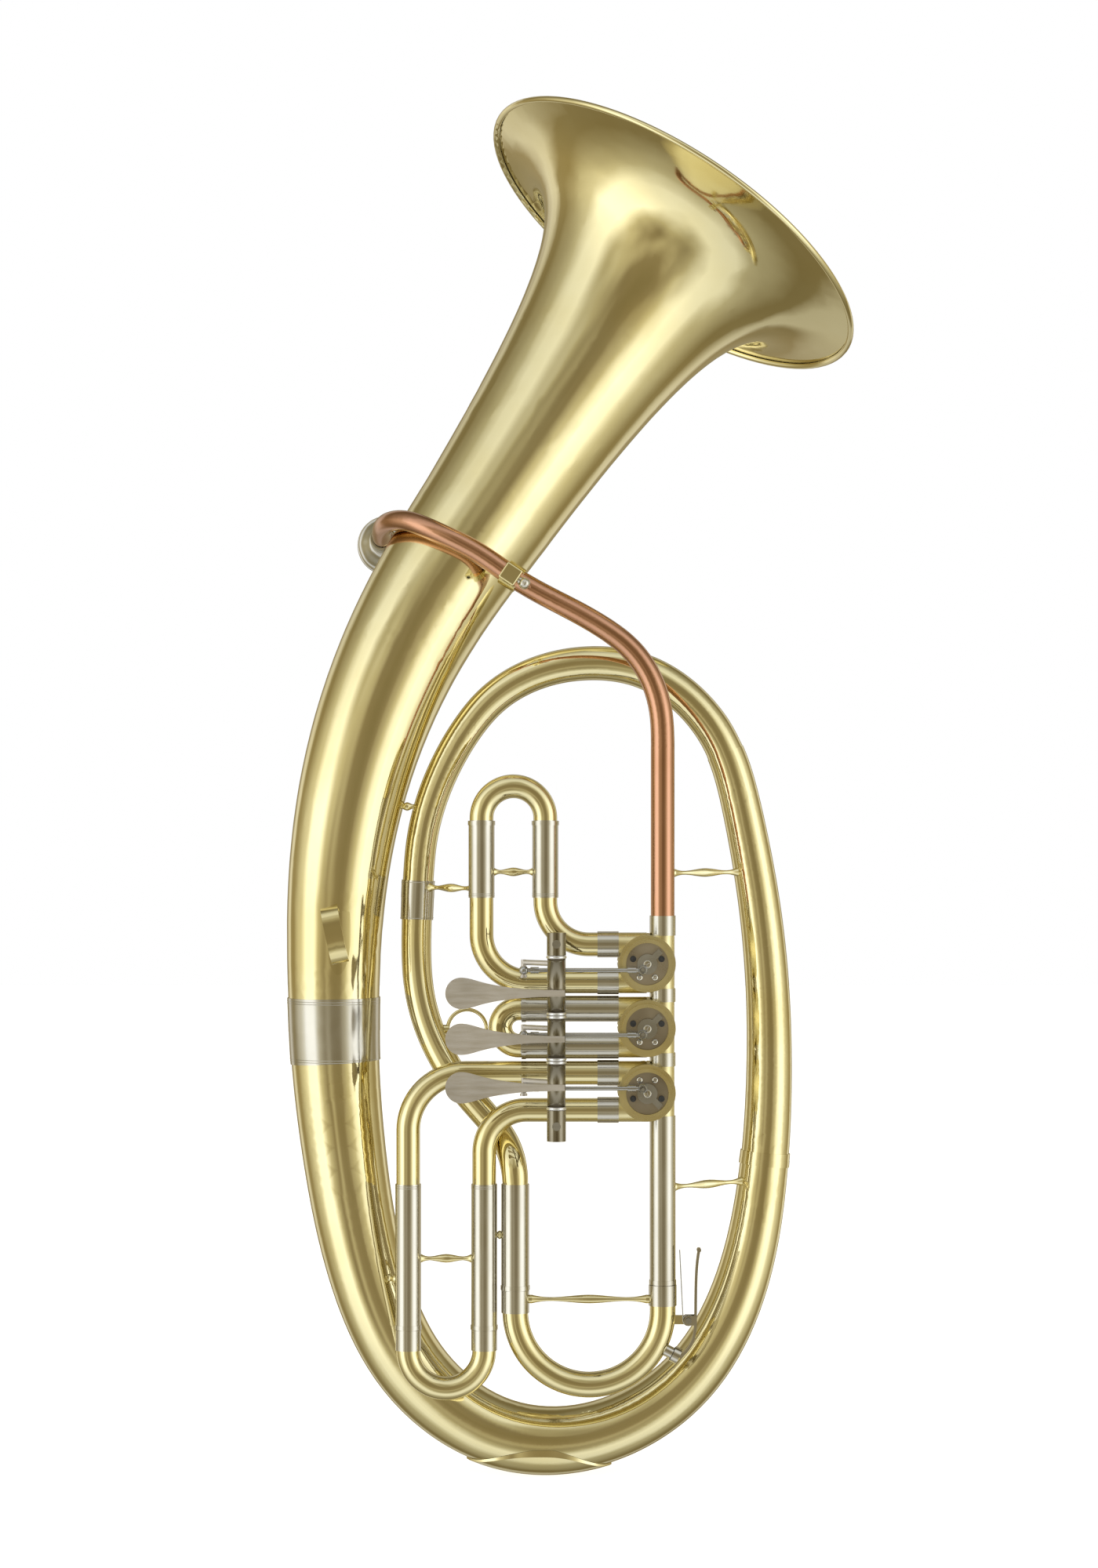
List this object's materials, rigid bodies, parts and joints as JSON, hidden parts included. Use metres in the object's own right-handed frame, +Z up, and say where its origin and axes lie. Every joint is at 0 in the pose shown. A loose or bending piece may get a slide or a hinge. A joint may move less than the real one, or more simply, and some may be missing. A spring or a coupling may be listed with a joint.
{
  "type": "tenor horn",
  "caption": "Oval rotary-valve brass tenor horn with a raised bell, finger levers, tuning slides, water key and cup mouthpiece.",
  "frame": {"origin": "middle of the horn's box in X and Y, level with the lowest point of the bow guard", "axes": "+Z up from the bottom bow to the bell, levers and valves facing -Y, mouthpiece and bell mouth towards +Y, bell leaning towards +X"},
  "size_m": [0.3485, 0.2924, 0.8416],
  "materials": {
    "lacquered_brass": "polished and clear lacquered",
    "gold_brass": "polished gold brass, clear lacquered",
    "nickel_silver": "polished nickel silver",
    "satin_nickel": "satin nickel silver",
    "silver_plate": "bright silver plate",
    "steel": "plain steel",
    "dark_steel": "blued steel",
    "rotor_bronze": "machined bronze",
    "bumper_rubber": "black rubber"
  },
  "bodies": {
    "horn": {"axle_screws": "steel", "bell": "lacquered_brass", "bell_ferrule": "nickel_silver", "bottom_bow": "lacquered_brass", "bow_guard": "lacquered_brass", "branch_sleeve": "lacquered_brass", "hand_hook": "lacquered_brass", "leadpipe": "gold_brass", "lever_springs": "steel", "loop_ferrule": "nickel_silver", "loop_tube": "lacquered_brass", "lyre_holder": "lacquered_brass", "main_sleeves": "nickel_silver", "receiver": "nickel_silver", "right_branch": "lacquered_brass", "rim_wire": "nickel_silver", "rocker_axle": "steel", "rocker_posts": "nickel_silver", "rotor_bearings": "rotor_bronze", "slide_1_sleeves": "nickel_silver", "slide_2_sleeves": "nickel_silver", "slide_3_sleeves": "nickel_silver", "slide_crooks": "lacquered_brass", "stays": "lacquered_brass", "stop_corks": "bumper_rubber", "stop_plates": "dark_steel", "thumb_ring": "lacquered_brass", "top_bow": "lacquered_brass", "valve_caps": "lacquered_brass", "valve_casings": "lacquered_brass", "valve_ferrules": "nickel_silver"},
    "mouthpiece": {"mouthpiece": "silver_plate"},
    "lyre_screw": {"lyre_screw": "nickel_silver"},
    "slide_1": {"slide_1_bow": "lacquered_brass", "slide_1_legs": "nickel_silver"},
    "slide_2": {"slide_2_bow": "lacquered_brass", "slide_2_legs": "nickel_silver"},
    "slide_3": {"slide_3_bow": "lacquered_brass", "slide_3_legs": "nickel_silver"},
    "main_slide": {"main_bow": "lacquered_brass", "main_legs": "nickel_silver", "main_brace": "lacquered_brass", "water_key_saddle": "lacquered_brass", "water_key_nipple": "nickel_silver", "water_key_pin": "steel", "water_key_spring": "steel"},
    "water_key": {"water_key_lever": "nickel_silver", "water_key_cork": "bumper_rubber"},
    "lever_1": {"lever_1": "satin_nickel"},
    "link_1": {"link_1": "nickel_silver"},
    "rotor_1": {"rotor_1": "rotor_bronze", "stop_arm_1": "dark_steel"},
    "lever_2": {"lever_2": "satin_nickel"},
    "link_2": {"link_2": "nickel_silver"},
    "rotor_2": {"rotor_2": "rotor_bronze", "stop_arm_2": "dark_steel"},
    "lever_3": {"lever_3": "satin_nickel"},
    "link_3": {"link_3": "nickel_silver"},
    "rotor_3": {"rotor_3": "rotor_bronze", "stop_arm_3": "dark_steel"}
  },
  "joints": [
    {"name": "mouthpiece_pull", "type": "slide", "parent": "horn", "child": "mouthpiece", "axis": [0, 1, 0], "range_m": [0, 0.04]},
    {"name": "slide_1_pull", "type": "slide", "parent": "horn", "child": "slide_1", "axis": [0, 0, 1], "range_m": [0, 0.035]},
    {"name": "slide_2_pull", "type": "slide", "parent": "horn", "child": "slide_2", "axis": [-1, 0, 0], "range_m": [0, 0.02]},
    {"name": "slide_3_pull", "type": "slide", "parent": "horn", "child": "slide_3", "axis": [0, 0, -1], "range_m": [0, 0.06]},
    {"name": "main_slide_pull", "type": "slide", "parent": "horn", "child": "main_slide", "axis": [0, 0, -1], "range_m": [0, 0.045]},
    {"name": "water_key_turn", "type": "hinge", "parent": "main_slide", "child": "water_key", "pos_m": [0.06825, -0.09977, 0.09843], "axis": [0, -1, 0], "range_deg": [0, 11]},
    {"name": "lyre_screw_turn", "type": "hinge", "parent": "horn", "child": "lyre_screw", "pos_m": [-0.03777, -0.10881, 0.54458], "axis": [0.8282, -0.0629, -0.5569], "range_deg": [0, 720]},
    {"name": "lever_1_press", "type": "hinge", "parent": "horn", "child": "lever_1", "pos_m": [-0.01075, -0.13917, 0.31233], "axis": [0, 0, -1], "range_deg": [0, 17]},
    {"name": "rotor_1_turn", "type": "hinge", "parent": "horn", "child": "rotor_1", "pos_m": [0.04335, -0.09977, 0.31233], "axis": [0, -1, 0], "range_deg": [0, 90]},
    {"name": "link_1_swing", "type": "hinge", "parent": "lever_1", "child": "link_1", "pos_m": [-0.03015, -0.12217, 0.30893], "axis": [0, 0, 1], "range_deg": [0, 13.08]},
    {"name": "lever_2_press", "type": "hinge", "parent": "horn", "child": "lever_2", "pos_m": [-0.01075, -0.13917, 0.27383], "axis": [0, 0, -1], "range_deg": [0, 17]},
    {"name": "rotor_2_turn", "type": "hinge", "parent": "horn", "child": "rotor_2", "pos_m": [0.04335, -0.09977, 0.27383], "axis": [0, -1, 0], "range_deg": [0, 90]},
    {"name": "link_2_swing", "type": "hinge", "parent": "lever_2", "child": "link_2", "pos_m": [-0.03015, -0.12217, 0.27043], "axis": [0, 0, 1], "range_deg": [0, 13.08]},
    {"name": "lever_3_press", "type": "hinge", "parent": "horn", "child": "lever_3", "pos_m": [-0.01075, -0.13917, 0.23533], "axis": [0, 0, -1], "range_deg": [0, 17]},
    {"name": "rotor_3_turn", "type": "hinge", "parent": "horn", "child": "rotor_3", "pos_m": [0.04335, -0.09977, 0.23533], "axis": [0, 1, 0], "range_deg": [0, 90]},
    {"name": "link_3_swing", "type": "hinge", "parent": "lever_3", "child": "link_3", "pos_m": [-0.03015, -0.12217, 0.23873], "axis": [0, 0, 1], "range_deg": [0, 13.08]}
  ],
  "couplings": [
    {"joint": "rotor_1_turn", "follows": "lever_1_press", "ratio": 5.294},
    {"joint": "link_1_swing", "follows": "lever_1_press", "ratio": 0.769},
    {"joint": "rotor_2_turn", "follows": "lever_2_press", "ratio": 5.294},
    {"joint": "link_2_swing", "follows": "lever_2_press", "ratio": 0.769},
    {"joint": "rotor_3_turn", "follows": "lever_3_press", "ratio": 5.294},
    {"joint": "link_3_swing", "follows": "lever_3_press", "ratio": 0.769}
  ]
}
